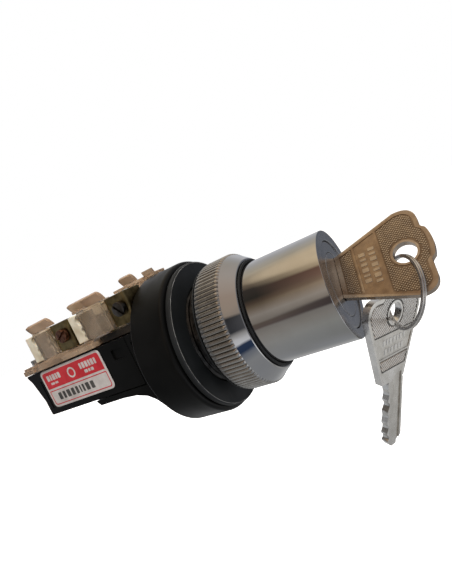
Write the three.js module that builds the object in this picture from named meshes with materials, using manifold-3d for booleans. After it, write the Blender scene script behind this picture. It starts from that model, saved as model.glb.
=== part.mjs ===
// Key-operated selector switch for a panel: chrome lock barrel, knurled ring nut, black housing,
// camshaft, two contact stages with clear terminal shrouds, and a pair of keys on a split ring.
// Millimetres. The switch axis is Y with the front facing -Y, +Z is up, and the origin is the
// centre of the face that bears on the panel.
import * as THREE from 'three';
import { mergeVertices } from 'three/addons/utils/BufferGeometryUtils.js';
import Module from 'manifold-3d';

const wasm = await Module();
wasm.setup();

// ---- driving dimensions -------------------------------------------------------------------
const GAP = 0.3;                     // running gap between separate pieces
const ROUND = 48;                    // facets round the big turned pieces
const ROUND_SMALL = 20;              // facets round the small ones

const FRONT_Y = -38.5;               // front rim of the barrel
const LOCK_FACE_Y = -38.1;           // face of the lock, just inside the rim
const BARREL_R = 14.5;
const BARREL_BORE_R = 11.8;
const THREAD_R = 15;                 // threaded neck, through a 30.5 mm panel hole
const THREAD_START_Y = -16.6;
const NECK_END_Y = 10;

const NUT_FRONT_Y = -16.8;
const NUT_KNURL_Y = -13.2;
const NUT_REAR_Y = -5.2;
const NUT_R = 18.9;
const NUT_BORE_R = THREAD_R + GAP;

const DISC_R = 21.8;                 // sealing disc that bears on the panel
const DISC_THICK = 1.6;
const FLANGE_R = 22.9;
const FLANGE_FRONT_Y = DISC_THICK + GAP;
const FLANGE_REAR_Y = 13.5;

const PLUG_R = 6.3;
const PLUG_HEAD_R = 8.5;             // wider front of the plug, slotted for the key's shoulder
const PLUG_HEAD_END_Y = -35;
const PLUG_NECK_R = 4;
const PLUG_SHOULDER_Y = -11.5;
const PLUG_END_Y = -6;

const BASE_HALF_X = 16;              // contact base
const BASE_FRONT_Y = 20.3;
const BASE_TOP_Z = 10.7;
const BASE_BOTTOM_Z = -4.3;
const ARM_BOTTOM_Z = -6.3;
const ARM_END_Y = 41;

const COVER_Z = 11;                  // underside of the clear covers
const COVER_TOP_Z = 13.3;
const FRONT_COVER_Y = 13.9;
const REAR_COVER_Y = 30.7;
const REAR_COVER_END_Y = 66.5;

const STAGE_Y = { front: 35.4, rear: 57.3 };         // middle of each moving contact
const CLAMP_Y = { front: 13.9, rear: 39.2 };         // front face of each terminal clamp
const SHROUD_Y = { front: [22.3, 32.9], rear: [47.6, 54.8] };
const HOOD_Y = {
  near: { front: [20.4, 27.8], rear: [43.8, 54.4] },
  far: { front: [22, 27.8], rear: [43.8, 54.4] },
};
const FLAP_Y = [14.3, 18.5];         // upright flap ahead of the far front hood, beside the flange
const FLAP_ARM_X = 8.6;              // its arm keeps this side of the wire way
const FAR_HOOD_X = 2.5;                // hinge line of the hoods of the far row, which lean the same way
const FAR_HOOD_RISE = 1.6;           // and stand this much higher
const TONGUE_Z = { front: 13.7, rear: 17 };          // underside of each fixed contact
const BRIDGE_Z = { front: 15, rear: 13.9 };          // underside of each moving contact
const PLUNGER_LIFT = 2;              // rise of both plungers over a quarter turn of the key
const CAM_BASE_R = 2.8;

const KEY_THICK = 1.9;
const KEY_TURN = 38.3;               // degrees from +Z to the cut edge of the key, clockwise from the front
const KEY_HOLE_X = 16.1;             // distance of the key's hole ahead of the rim
const KEY_HOLE_R = 2.75;
const BOW_OFFSET = 1.4;              // middle of the bow above the middle of the blade
const BLADE_HALF = 3.45;
const BLADE_TIP_X = -23.4;
const SHOULDER_X = -2.8;             // where the bow meets the blade

const RING_WIRE_R = 0.45;
const RING_R = 8.62;

// ---- solids -------------------------------------------------------------------------------
// Makes a solid of a closed three.js geometry, with its faces pointing out.
function solid(geometry) {
  const bare = geometry.clone();
  bare.deleteAttribute('normal');
  bare.deleteAttribute('uv');
  const merged = mergeVertices(bare, 1e-4);
  const position = merged.attributes.position;
  const corner = [new THREE.Vector3(), new THREE.Vector3(), new THREE.Vector3()];
  const triangles = [];
  let volume = 0;
  for (let i = 0; i < merged.index.count; i += 3) {
    const face = [0, 1, 2].map((k) => merged.index.getX(i + k));
    if (new Set(face).size < 3) continue;
    face.forEach((vertex, k) => corner[k].fromBufferAttribute(position, vertex));
    volume += corner[0].dot(corner[1].clone().cross(corner[2]));
    triangles.push(face);
  }
  if (volume < 0) triangles.forEach((face) => face.reverse());
  return new wasm.Manifold(new wasm.Mesh({
    numProp: 3,
    vertProperties: new Float32Array(position.array),
    triVerts: new Uint32Array(triangles.flat()),
  }));
}

function geometryOf(body) {
  const mesh = body.getMesh();
  const geometry = new THREE.BufferGeometry();
  geometry.setAttribute('position', new THREE.BufferAttribute(mesh.vertProperties, 3));
  geometry.setIndex(new THREE.BufferAttribute(mesh.triVerts, 1));
  return geometry;
}

// The same body on the other side of the YZ plane.
const mirrored = (body) => solid(geometryOf(body).applyMatrix4(new THREE.Matrix4().makeScale(-1, 1, 1)));

const joined = (...bodies) => bodies.reduce((all, body) => all.add(body));
const cut = (body, ...tools) => tools.reduce((left, tool) => left.subtract(tool), body);

// A block between two corners.
function block([x0, y0, z0], [x1, y1, z1]) {
  const geometry = new THREE.BoxGeometry(x1 - x0, y1 - y0, z1 - z0);
  geometry.translate((x0 + x1) / 2, (y0 + y1) / 2, (z0 + z1) / 2);
  return solid(geometry);
}

// A body turned about the Y axis from [radius, y] points that end on the axis or form a loop.
function turned(profile, facets = ROUND) {
  const points = profile.map(([r, y]) => new THREE.Vector2(r, y));
  const onAxis = profile[0][0] === 0 && profile.at(-1)[0] === 0;
  if (!onAxis) points.push(points[0].clone());
  return solid(new THREE.LatheGeometry(points, facets));
}

const sleeve = (inner, outer, y0, y1, facets = ROUND) =>
  turned([[inner, y0], [outer, y0], [outer, y1], [inner, y1]], facets);

// A round rod from one point to another.
function rod(from, to, radius, facets = ROUND_SMALL) {
  const start = new THREE.Vector3(...from);
  const along = new THREE.Vector3(...to).sub(start);
  const geometry = new THREE.CylinderGeometry(radius, radius, along.length(), facets);
  geometry.applyQuaternion(new THREE.Quaternion().setFromUnitVectors(
    new THREE.Vector3(0, 1, 0), along.clone().normalize()));
  const middle = start.addScaledVector(along, 0.5);
  geometry.translate(middle.x, middle.y, middle.z);
  return solid(geometry);
}

// A plate with the given outline, carried by a frame: u and v span the outline and the plate
// is centred on the frame's origin along its third direction.
function plate(shape, thick, frame) {
  const geometry = new THREE.ExtrudeGeometry(shape, { depth: thick, bevelEnabled: false, curveSegments: 8 });
  geometry.translate(0, 0, -thick / 2);
  geometry.applyMatrix4(frame);
  return solid(geometry);
}

function frameOf(origin, u, v) {
  const across = new THREE.Vector3().crossVectors(u, v);
  return new THREE.Matrix4().makeBasis(u, v, across).setPosition(origin);
}

// An outline in the YZ plane, drawn along X from x0 to x1.
function sideProfile(outline, x0, x1) {
  const shape = new THREE.Shape(outline.map(([y, z]) => new THREE.Vector2(y, z)));
  const frame = frameOf(new THREE.Vector3((x0 + x1) / 2, 0, 0),
    new THREE.Vector3(0, 1, 0), new THREE.Vector3(0, 0, 1));
  return plate(shape, x1 - x0, frame);
}

// A coil spring about a Z line, resting between two heights.
function coilSpring(centre, radius, wire, z0, z1, turns) {
  class Helix extends THREE.Curve {
    getPoint(t, target = new THREE.Vector3()) {
      const angle = t * turns * 2 * Math.PI;
      return target.set(centre[0] + radius * Math.cos(angle), centre[1] + radius * Math.sin(angle),
        z0 + wire + (z1 - z0 - 2 * wire) * t);
    }
  }
  const section = new THREE.Shape();
  section.absarc(0, 0, wire, 0, 2 * Math.PI);
  return solid(new THREE.ExtrudeGeometry(section,
    { steps: Math.round(turns * 9), curveSegments: 3, extrudePath: new Helix() }));
}

// ---- scene graph --------------------------------------------------------------------------
const finish = {
  chrome: [0xc9cbd0, 0.12, 1], steel: [0xa9a9a6, 0.35, 1], darkSteel: [0x5c5a55, 0.4, 1],
  zinc: [0x6c7078, 0.35, 0.9], brass: [0x9a8148, 0.35, 1], black: [0x1b1c1f, 0.5, 0],
  rubber: [0x0e0f11, 0.8, 0], ivory: [0xd9cfb4, 0.5, 0], clear: [0xb89c78, 0.15, 0],
  paper: [0xc9bfba, 0.6, 0], nickelTan: [0x8d7250, 0.4, 1], nickel: [0xb9b4a8, 0.3, 1],
};
const group = new THREE.Group();

function part(name, look, body) {
  const [color, roughness, metalness] = finish[look];
  const mesh = new THREE.Mesh(geometryOf(body), new THREE.MeshStandardMaterial({ color, roughness, metalness }));
  mesh.name = name;
  group.add(mesh);
  return mesh;
}

// ---- lock barrel and its fixing to the panel ----------------------------------------------
function barrel() {
  return turned([
    [BARREL_BORE_R, FRONT_Y], [BARREL_R - 0.3, FRONT_Y], [BARREL_R, FRONT_Y + 0.3],
    [BARREL_R, THREAD_START_Y], [THREAD_R, THREAD_START_Y + 0.5], [THREAD_R, NECK_END_Y],
    [BARREL_BORE_R, NECK_END_Y],
  ]);
}

function ringNut() {
  return turned([
    [NUT_BORE_R, NUT_FRONT_Y], [15.8, NUT_FRONT_Y], [17, NUT_FRONT_Y + 0.8], [18, NUT_FRONT_Y + 1.8],
    [18.6, NUT_KNURL_Y - 0.4], [NUT_R, NUT_KNURL_Y + 0.3], [NUT_R, NUT_REAR_Y - 0.3],
    [NUT_R - 0.4, NUT_REAR_Y], [NUT_BORE_R, NUT_REAR_Y],
  ]);
}

// The flange cup is screwed on the neck; its arm under the contact base ends in a low step.
function housing() {
  const cup = turned([
    [THREAD_R + GAP, FLANGE_FRONT_Y], [FLANGE_R - 1, FLANGE_FRONT_Y], [FLANGE_R - 0.3, FLANGE_FRONT_Y + 0.4],
    [FLANGE_R, FLANGE_FRONT_Y + 1.2], [FLANGE_R, FLANGE_REAR_Y], [3.2, FLANGE_REAR_Y],
    [3.2, NECK_END_Y + GAP], [THREAD_R + GAP, NECK_END_Y + GAP],
  ]);
  const arm = sideProfile([
    [FLANGE_REAR_Y - 0.5, -15], [FLANGE_REAR_Y + 1.5, -14.4], [FLANGE_REAR_Y + 3.2, -12.4],
    [FLANGE_REAR_Y + 5, -10], [FLANGE_REAR_Y + 7.4, -8], [FLANGE_REAR_Y + 11, -6.8],
    [FLANGE_REAR_Y + 17, ARM_BOTTOM_Z], [ARM_END_Y - 1, ARM_BOTTOM_Z], [ARM_END_Y, -5.9],
    [ARM_END_Y + 0.8, BASE_BOTTOM_Z - GAP], [BASE_FRONT_Y - GAP, BASE_BOTTOM_Z - GAP],
    [BASE_FRONT_Y - GAP, BASE_TOP_Z], [FLANGE_REAR_Y - 0.5, BASE_TOP_Z],
  ], -BASE_HALF_X, BASE_HALF_X);
  const shaftWay = rod([0, FLANGE_REAR_Y - 1, 0], [0, BASE_FRONT_Y + 1, 0], 3.2);
  const grubWay = rod([FLANGE_R - 7, 7, 0], [FLANGE_R + 1, 7, 0], 1.5 + GAP);
  return cut(joined(cup, arm), shaftWay, grubWay);
}

function grubScrew() {
  const socket = rod([21.6, 7, 0], [23.5, 7, 0], 0.7, 6);
  return cut(rod([16, 7, 0], [22.5, 7, 0], 1.5), socket);
}

// ---- lock ---------------------------------------------------------------------------------
const turn = THREE.MathUtils.degToRad(KEY_TURN);
const keyUp = new THREE.Vector3(Math.sin(turn), 0, Math.cos(turn));    // towards the cut edge
const outward = new THREE.Vector3(0, -1, 0);
const keyFrame = frameOf(new THREE.Vector3(0, FRONT_Y, 0), outward, keyUp);

// A block in the key's frame: x ahead of the rim, y towards the cut edge, centred across.
function keyBlock(x0, x1, y0, y1, thick) {
  const shape = new THREE.Shape([
    new THREE.Vector2(x0, y0), new THREE.Vector2(x1, y0), new THREE.Vector2(x1, y1), new THREE.Vector2(x0, y1)]);
  return plate(shape, thick, keyFrame);
}

const WAFER_COUNT = 5;
const WAFER_PITCH = 3.4;
const WAFER_THICK = 1;
const FIRST_WAFER_X = -6.6;
const KEYWAY_HALF = BLADE_HALF + 0.4;
const KEYWAY_WIDTH = KEY_THICK + 2 * GAP;

function lockCylinder() {
  const face = LOCK_FACE_Y - FRONT_Y;
  const channel = keyBlock(-26.5, -face - 3, -8.2, 8.2, 6.4);
  const body = turned([
    [PLUG_HEAD_R + GAP, LOCK_FACE_Y], [BARREL_BORE_R - GAP, LOCK_FACE_Y],
    [BARREL_BORE_R - GAP, PLUG_SHOULDER_Y], [PLUG_R + GAP, PLUG_SHOULDER_Y],
    [PLUG_R + GAP, PLUG_HEAD_END_Y + GAP], [PLUG_HEAD_R + GAP, PLUG_HEAD_END_Y + GAP],
  ]);
  return body.subtract(channel);
}

function keyPlug() {
  const face = LOCK_FACE_Y - FRONT_Y;
  const core = turned([
    [0, LOCK_FACE_Y], [PLUG_HEAD_R - 0.3, LOCK_FACE_Y], [PLUG_HEAD_R, LOCK_FACE_Y + 0.3],
    [PLUG_HEAD_R, PLUG_HEAD_END_Y], [PLUG_R, PLUG_HEAD_END_Y], [PLUG_R, PLUG_SHOULDER_Y],
    [PLUG_NECK_R, PLUG_SHOULDER_Y], [PLUG_NECK_R, PLUG_END_Y], [0, PLUG_END_Y],
  ], 36);
  const keyway = keyBlock(BLADE_TIP_X - 0.4, -face + 1, -KEYWAY_HALF, KEYWAY_HALF, KEYWAY_WIDTH);
  const seat = keyBlock(SHOULDER_X - 0.3, -face + 1, BOW_OFFSET - 6.2, BOW_OFFSET + 6.2, KEYWAY_WIDTH);
  let plug = core.subtract(keyway).subtract(seat);
  for (let i = 0; i < WAFER_COUNT; i += 1) {
    const x = FIRST_WAFER_X - i * WAFER_PITCH;
    const slot = keyBlock(x - WAFER_THICK / 2 - GAP, x + WAFER_THICK / 2 + GAP, -7, 7, 5.2 + 2 * GAP);
    plug = plug.subtract(slot);
  }
  const tang = block([-2, PLUG_END_Y - 3, -0.8], [2, PLUG_END_Y + 1, 0.8]);
  return plug.subtract(tang);
}

// A wafer is a thin plate across the plug with a window for the blade.
function wafer(index) {
  const x = FIRST_WAFER_X - index * WAFER_PITCH;
  const shift = [0.3, -0.2, 0.2, -0.3, 0][index];
  const outline = keyBlock(x - WAFER_THICK / 2, x + WAFER_THICK / 2, -5.2 + shift, 5.2 + shift, 5.2);
  const window = keyBlock(x - WAFER_THICK, x + WAFER_THICK, -KEYWAY_HALF, KEYWAY_HALF, KEYWAY_WIDTH);
  return outline.subtract(window);
}

const INDEX_Y = [-9.9, -7.4];        // index wheel on the plug's neck
const INDEX_R = 9.5;

function indexWheel() {
  const wheel = sleeve(PLUG_NECK_R + GAP, INDEX_R, ...INDEX_Y, 48);
  const notches = [0, 90].map((angle) => {
    const a = THREE.MathUtils.degToRad(angle);
    const x = INDEX_R * Math.sin(a);
    const z = INDEX_R * Math.cos(a);
    return rod([x, INDEX_Y[0] - 1, z], [x, INDEX_Y[1] + 1, z], 1.4, 12);
  });
  return cut(wheel, ...notches);
}

// A spring leaf bent round the inside of the barrel, with a nose over the wheel's notch.
function indexLeaf() {
  const arc = new THREE.Shape();
  arc.absarc(0, 0, 11.1, 0.25 * Math.PI, 0.75 * Math.PI, false);
  arc.absarc(0, 0, 10.5, 0.75 * Math.PI, 0.25 * Math.PI, true);
  const frame = frameOf(new THREE.Vector3(0, (INDEX_Y[0] + INDEX_Y[1]) / 2, 0),
    new THREE.Vector3(1, 0, 0), new THREE.Vector3(0, 0, 1));
  const nose = rod([0, INDEX_Y[0] + 0.3, 10.55], [0, INDEX_Y[1] - 0.3, 10.55], 0.7, 12);
  return joined(plate(arc, 1.8, frame), nose);
}

const plugClip = () => sleeve(PLUG_NECK_R + GAP, 7.8, -11.2, -10.3, 32);

// The camshaft carries one cam for each stage. Each cam rises steadily over a quarter turn.
function camshaft() {
  const tang = block([-1.7, -8.4, -0.5], [1.7, PLUG_END_Y + 1, 0.5]);
  const shaft = turned([[0, PLUG_END_Y + GAP], [2.4, PLUG_END_Y + GAP], [2.4, 59.8], [0, 59.8]], 20);
  const cams = Object.values(STAGE_Y).map((y) => {
    const outline = new THREE.Shape();
    const steps = 12;
    for (let i = 0; i <= steps; i += 1) {
      const share = i / steps;
      const radius = CAM_BASE_R + PLUNGER_LIFT * share;
      const angle = share * Math.PI / 2;
      const point = [radius * Math.sin(angle), radius * Math.cos(angle)];
      if (i === 0) outline.moveTo(...point);
      else outline.lineTo(...point);
    }
    outline.absarc(0, 0, CAM_BASE_R, 0, -1.5 * Math.PI, true);
    return plate(outline, 4, frameOf(new THREE.Vector3(0, y, 0),
      new THREE.Vector3(1, 0, 0), new THREE.Vector3(0, 0, 1)));
  });
  return joined(tang, shaft, ...cams);
}

// ---- contact base and covers --------------------------------------------------------------
const STEM_HALF = 2;
const COVER_SCREW = { x: 12, y: 62.6 };

function contactBase() {
  const shell = sideProfile([
    [BASE_FRONT_Y, BASE_BOTTOM_Z], [63.6, BASE_BOTTOM_Z], [63.6, 1], [65.4, 8],
    [66.6, BASE_TOP_Z], [BASE_FRONT_Y, BASE_TOP_Z],
  ], -BASE_HALF_X, BASE_HALF_X);
  const hollow = block([-9, BASE_FRONT_Y - 1, -3.2], [9, 61.4, 8.6]);
  const stemWays = Object.values(STAGE_Y).map((y) => block(
    [-STEM_HALF - GAP, y - STEM_HALF - GAP, 8], [STEM_HALF + GAP, y + STEM_HALF + GAP, BASE_TOP_Z + 1]));
  const screwWays = [-1, 1].map((side) => rod(
    [side * COVER_SCREW.x, COVER_SCREW.y, 5], [side * COVER_SCREW.x, COVER_SCREW.y, BASE_TOP_Z + 1], 1.5));
  return cut(shell, hollow, ...stemWays, ...screwWays);
}

function rearCover() {
  const sheet = block([-17, REAR_COVER_Y, COVER_Z], [17, REAR_COVER_END_Y, COVER_TOP_Z]);
  const stemWays = Object.values(STAGE_Y).map((y) => block(
    [-STEM_HALF - GAP, y - STEM_HALF - GAP, COVER_Z - 1],
    [STEM_HALF + GAP, y + STEM_HALF + GAP, COVER_TOP_Z + 1]));
  const screwWays = [-1, 1].map((side) => rod(
    [side * COVER_SCREW.x, COVER_SCREW.y, COVER_Z - 1], [side * COVER_SCREW.x, COVER_SCREW.y, 15], 1.5));
  return cut(sheet, ...stemWays, ...screwWays);
}

const frontCover = () => block(
  [-14.5, FRONT_COVER_Y, COVER_Z], [14.5, REAR_COVER_Y - GAP, COVER_TOP_Z - 0.3]);

function coverScrew(side) {
  const x = side * COVER_SCREW.x;
  const head = rod([x, COVER_SCREW.y, COVER_TOP_Z + 0.1], [x, COVER_SCREW.y, COVER_TOP_Z + 1.7], 2.5);
  const shank = rod([x, COVER_SCREW.y, 5.4], [x, COVER_SCREW.y, COVER_TOP_Z + 0.5], 1.2, 12);
  const slot = block([x - 3, COVER_SCREW.y - 0.35, COVER_TOP_Z + 1], [x + 3, COVER_SCREW.y + 0.35, 16]);
  return cut(joined(head, shank), slot);
}

const label = () => block([-16.3, 31.1, -2.3], [-16.1, 59.8, 10.4]);

// ---- terminals ----------------------------------------------------------------------------
const CLAMP = { length: 8, bottom: 13.6, top: 22.4, outer: 15, inner: 7 };

// The clamps, screws and strips are drawn for the near row, -X, and mirrored for the far row.
const onSide = (row, body) => (row === 'near' ? body : mirrored(body));

function clamp(stage) {
  const y = CLAMP_Y[stage];
  const cage = block([-CLAMP.outer, y, CLAMP.bottom], [-CLAMP.inner, y + CLAMP.length, CLAMP.top]);
  const wireWay = block([-14, y + 1.2, CLAMP.bottom - 1], [-8.2, y + 6.8, CLAMP.top + 1]);
  const screwWay = rod([-16, y + 2.8, 18.2], [-13, y + 2.8, 18.2], 1.3);
  const stripWay = block([-9.7, y - 1, 14.3], [-8.1, y + CLAMP.length + 1, 18.9]);
  return cut(cage, wireWay, screwWay, stripWay);
}

function clampScrew(stage) {
  const y = CLAMP_Y[stage] + 2.8;
  const head = rod([-16.9, y, 18.2], [-15.3, y, 18.2], 2.1);
  const shank = rod([-15.5, y, 18.2], [-14.2, y, 18.2], 1, 12);
  const slot = block([-17.5, y - 0.3, 15], [-16.4, y + 0.3, 22]);
  return cut(joined(head, shank), slot);
}

// A brass strip from the clamp to the fixed contact beside the moving one.
function terminalStrip(stage) {
  const y = STAGE_Y[stage];
  const strip = block([-9.4, CLAMP_Y[stage] + 0.2, 14.6], [-8.4, y - 2.1, 18.6]);
  const tongue = block([-9.4, y - 3.1, TONGUE_Z[stage]], [-5, y + 1.7, TONGUE_Z[stage] + 1]);
  return joined(strip, tongue);
}

const SHROUD = { outer: 16, inner: 9.8, bottom: 13.6, top: 22.6, wall: 0.9 };

// A clear hood along Y that stands on a lid and leans out to -X over its hinge line.
function leaning(lean, hingeX, top, [y0, y1]) {
  const section = new THREE.Shape(lean.map(([x, z]) => new THREE.Vector2(hingeX + x, top + z)));
  const frame = frameOf(new THREE.Vector3(0, (y0 + y1) / 2, 0),
    new THREE.Vector3(1, 0, 0), new THREE.Vector3(0, 0, 1));
  return plate(section, y1 - y0, frame);
}

function hood(stage, row, hingeX, top) {
  const lean = [[0, -SHROUD.wall], [1.2, -SHROUD.wall], [1.2, 0], [-0.7, 3], [-1.6, 2.4]];
  const clampRoom = block([-20, CLAMP_Y[stage] - GAP, 10],
    [0, CLAMP_Y[stage] + CLAMP.length + GAP, CLAMP.top + GAP]);
  return leaning(lean, hingeX, top, HOOD_Y[row][stage]).subtract(clampRoom);
}

// The flap lies flatter than a hood, at the end of an arm that runs on from the lid.
function flap(top) {
  const lean = [[0, -SHROUD.wall], [1, -SHROUD.wall], [1, 0], [0.2, 1.4], [-0.7, 1.4]];
  const arm = block([FAR_HOOD_X, FLAP_Y[0], top - SHROUD.wall], [FLAP_ARM_X, SHROUD_Y.front[0] + 1, top]);
  return joined(arm, leaning(lean, FAR_HOOD_X, top, FLAP_Y));
}

// A clear box open below and on its inner side, round the fixed contact, with its hood.
function shroud(stage, row) {
  const [y0, y1] = SHROUD_Y[stage];
  const { outer, inner, bottom, wall } = SHROUD;
  const near = row === 'near';
  const top = near ? SHROUD.top : SHROUD.top + FAR_HOOD_RISE;
  const walls = joined(
    block([-outer, y0, bottom], [-outer + wall, y1, top]),
    block([-outer, y0, bottom], [-inner, y0 + wall, top]),
    block([-outer, y1 - wall, bottom], [-inner, y1, top]));
  const lid = (x0, x1) => block([x0, y0, top - wall], [x1, y1, top]);
  if (near) return joined(walls, lid(-outer, -inner), hood(stage, row, -outer, top));
  const box = joined(mirrored(walls), lid(FAR_HOOD_X, outer), hood(stage, row, FAR_HOOD_X, top));
  return stage === 'front' ? joined(box, flap(top)) : box;
}

// ---- plungers with their moving contacts --------------------------------------------------
const BEAM_Z = 19.5;
const PLUNGER_TOP_Z = 22.2;

function plunger(stage) {
  const y = STAGE_Y[stage];
  const half = 2.1;
  const beam = block([-15.5, y - half, BEAM_Z], [15.5, y + half, PLUNGER_TOP_Z]);
  const ends = [-15.5, 11].map((x) => block([x, y - half, CLAMP.bottom], [x + 4.5, y + half, BEAM_Z + 1]));
  const stem = block([-STEM_HALF, y - STEM_HALF, 4], [STEM_HALF, y + STEM_HALF, BEAM_Z + 1]);
  const foot = block([-3.4, y - 3.4, CAM_BASE_R + GAP], [3.4, y + 3.4, 4.4]);
  return joined(beam, ...ends, stem, foot);
}

function bridge(stage) {
  const y = STAGE_Y[stage];
  const z = BRIDGE_Z[stage];
  const strip = block([-8, y - 1.7, z], [8, y + 1.7, z + 0.8]);
  const way = block([-STEM_HALF - GAP, y - 5, z - 1], [STEM_HALF + GAP, y + 5, z + 2]);
  const loop = block([-3.6, y - 3.4, z], [3.6, y + 3.4, z + 0.8]);
  const eye = block([-STEM_HALF - GAP, y - STEM_HALF - GAP, z - 1],
    [STEM_HALF + GAP, y + STEM_HALF + GAP, z + 2]);
  return joined(cut(strip, way), cut(loop, eye));
}

function contactSpring(stage) {
  return coilSpring([0, STAGE_Y[stage]], 3.2, 0.28, BRIDGE_Z[stage] + 1, BEAM_Z - 0.2, 3);
}

function returnSpring(stage) {
  return coilSpring([0, STAGE_Y[stage]], 3.3, 0.3, 4.6, 8.4, 3);
}

// ---- keys and split ring ------------------------------------------------------------------
// Key outline: x ahead of the rim, y towards the cut edge. The bow widens steadily away from the
// blade, has round far corners and ends in a low hump between two nicks.
function keyShape(cutDepths) {
  const halfBow = (x) => 8.4 + (x - 7.25) / 3;
  const cornerX = 17.4;
  const corner = halfBow(cornerX);
  const shape = new THREE.Shape();
  shape.moveTo(BLADE_TIP_X, -1);
  shape.lineTo(BLADE_TIP_X + 2.2, -BLADE_HALF);
  shape.lineTo(SHOULDER_X, -BLADE_HALF);
  shape.lineTo(SHOULDER_X + 0.2, BOW_OFFSET - halfBow(SHOULDER_X));
  shape.lineTo(cornerX - 1.5, BOW_OFFSET - corner + 0.4);
  shape.quadraticCurveTo(20.6, BOW_OFFSET - corner, 21, BOW_OFFSET - 8);
  shape.lineTo(20.9, BOW_OFFSET - 3.8);
  shape.lineTo(22, BOW_OFFSET - 2.9);
  shape.quadraticCurveTo(23.2, BOW_OFFSET + 0.7, 22, BOW_OFFSET + 4.4);
  shape.lineTo(20.9, BOW_OFFSET + 5.3);
  shape.lineTo(21, BOW_OFFSET + 8);
  shape.quadraticCurveTo(20.6, BOW_OFFSET + corner, cornerX - 1.5, BOW_OFFSET + corner - 0.4);
  shape.lineTo(SHOULDER_X + 0.2, BOW_OFFSET + halfBow(SHOULDER_X));
  shape.lineTo(SHOULDER_X, BLADE_HALF);
  cutDepths.forEach((depth, i) => {
    const x = FIRST_WAFER_X - i * WAFER_PITCH;
    shape.lineTo(x + 1.4, BLADE_HALF - 0.1);
    shape.lineTo(x + 0.4, BLADE_HALF - depth);
    shape.lineTo(x - 0.4, BLADE_HALF - depth);
  });
  shape.lineTo(BLADE_TIP_X + 2.2, BLADE_HALF - 0.4);
  shape.lineTo(BLADE_TIP_X, 1);
  const hole = new THREE.Path();
  hole.absellipse(KEY_HOLE_X, BOW_OFFSET, KEY_HOLE_R, KEY_HOLE_R, 0, 2 * Math.PI, true);
  shape.holes.push(hole);
  return shape;
}
const CUT_DEPTHS = [0.6, 1, 0.5, 0.8, 1.1];

const insertedKey = () => plate(keyShape(CUT_DEPTHS), KEY_THICK, keyFrame);

// The spare key hangs from the split ring: where its hole is, which way its blade points, and
// which way its cut edge faces.
const SPARE_HOLE = new THREE.Vector3(4.8, -45.8, -12.2);
const SPARE_BLADE = new THREE.Vector3(0.0187, 0.4023, -0.9153).normalize();
const SPARE_CUTS = new THREE.Vector3(-0.8745, 0.4504, 0.1801);

function spareKey() {
  const u = SPARE_BLADE.clone().negate();
  const v = SPARE_CUTS.clone().addScaledVector(u, -SPARE_CUTS.dot(u)).normalize();
  const origin = SPARE_HOLE.clone().addScaledVector(u, -KEY_HOLE_X).addScaledVector(v, -BOW_OFFSET);
  return plate(keyShape(CUT_DEPTHS), KEY_THICK, frameOf(origin, u, v));
}

const RING_CENTRE = new THREE.Vector3(-0.36, -50.7, -7);
const RING_AXIS = new THREE.Vector3(0.5069, -0.7597, -0.4073).normalize();

function keyRing() {
  const torus = new THREE.TorusGeometry(RING_R, RING_WIRE_R, 6, 36);
  torus.applyQuaternion(new THREE.Quaternion().setFromUnitVectors(new THREE.Vector3(0, 0, 1), RING_AXIS));
  torus.translate(...RING_CENTRE.toArray());
  return solid(torus);
}

// ---- assembly -----------------------------------------------------------------------------
part('lock_barrel', 'chrome', barrel());
part('ring_nut', 'chrome', ringNut());
part('barrel_seal', 'rubber',
  sleeve(BARREL_R + 0.1, NUT_BORE_R + 0.1, NUT_FRONT_Y - 0.6, NUT_FRONT_Y - 0.1, 48));
part('nut_washer', 'black', sleeve(THREAD_R + GAP, 18.4, -4.9, -4.5));
part('sealing_disc', 'rubber', sleeve(THREAD_R + GAP, DISC_R, 0, DISC_THICK));
part('housing', 'black', housing());
part('grub_screw', 'darkSteel', grubScrew());
part('lock_cylinder', 'zinc', lockCylinder());
part('key_plug', 'zinc', keyPlug());
for (let i = 0; i < WAFER_COUNT; i += 1) part(`wafer_${i + 1}`, 'brass', wafer(i));
part('plug_clip', 'steel', plugClip());
part('index_wheel', 'steel', indexWheel());
part('index_leaf', 'steel', indexLeaf());
part('camshaft', 'black', camshaft());
part('contact_base', 'black', contactBase());
part('front_cover', 'clear', frontCover());
part('rear_cover', 'clear', rearCover());
part('cover_screw_left', 'steel', coverScrew(-1));
part('cover_screw_right', 'steel', coverScrew(1));
part('label', 'paper', label());
for (const stage of ['front', 'rear']) {
  part(`plunger_${stage}`, 'ivory', plunger(stage));
  part(`bridge_${stage}`, 'brass', bridge(stage));
  part(`contact_spring_${stage}`, 'steel', contactSpring(stage));
  part(`return_spring_${stage}`, 'steel', returnSpring(stage));
  for (const row of ['near', 'far']) {
    part(`clamp_${stage}_${row}`, 'brass', onSide(row, clamp(stage)));
    part(`clamp_screw_${stage}_${row}`, 'darkSteel', onSide(row, clampScrew(stage)));
    part(`terminal_${stage}_${row}`, 'brass', onSide(row, terminalStrip(stage)));
    part(`shroud_${stage}_${row}`, 'clear', shroud(stage, row));
  }
}
part('key', 'nickelTan', insertedKey());
part('spare_key', 'nickel', spareKey());
part('key_ring', 'steel', keyRing());

export default group;
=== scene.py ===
"""Looks of the key-operated selector switch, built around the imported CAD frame.

Shapes are drawn in millimetres in the CAD frame (switch axis Y, front -Y, +Z up) and turned
into metres when a piece is made.
"""
import math

import bmesh
import bpy
from mathutils import Matrix, Vector

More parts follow.
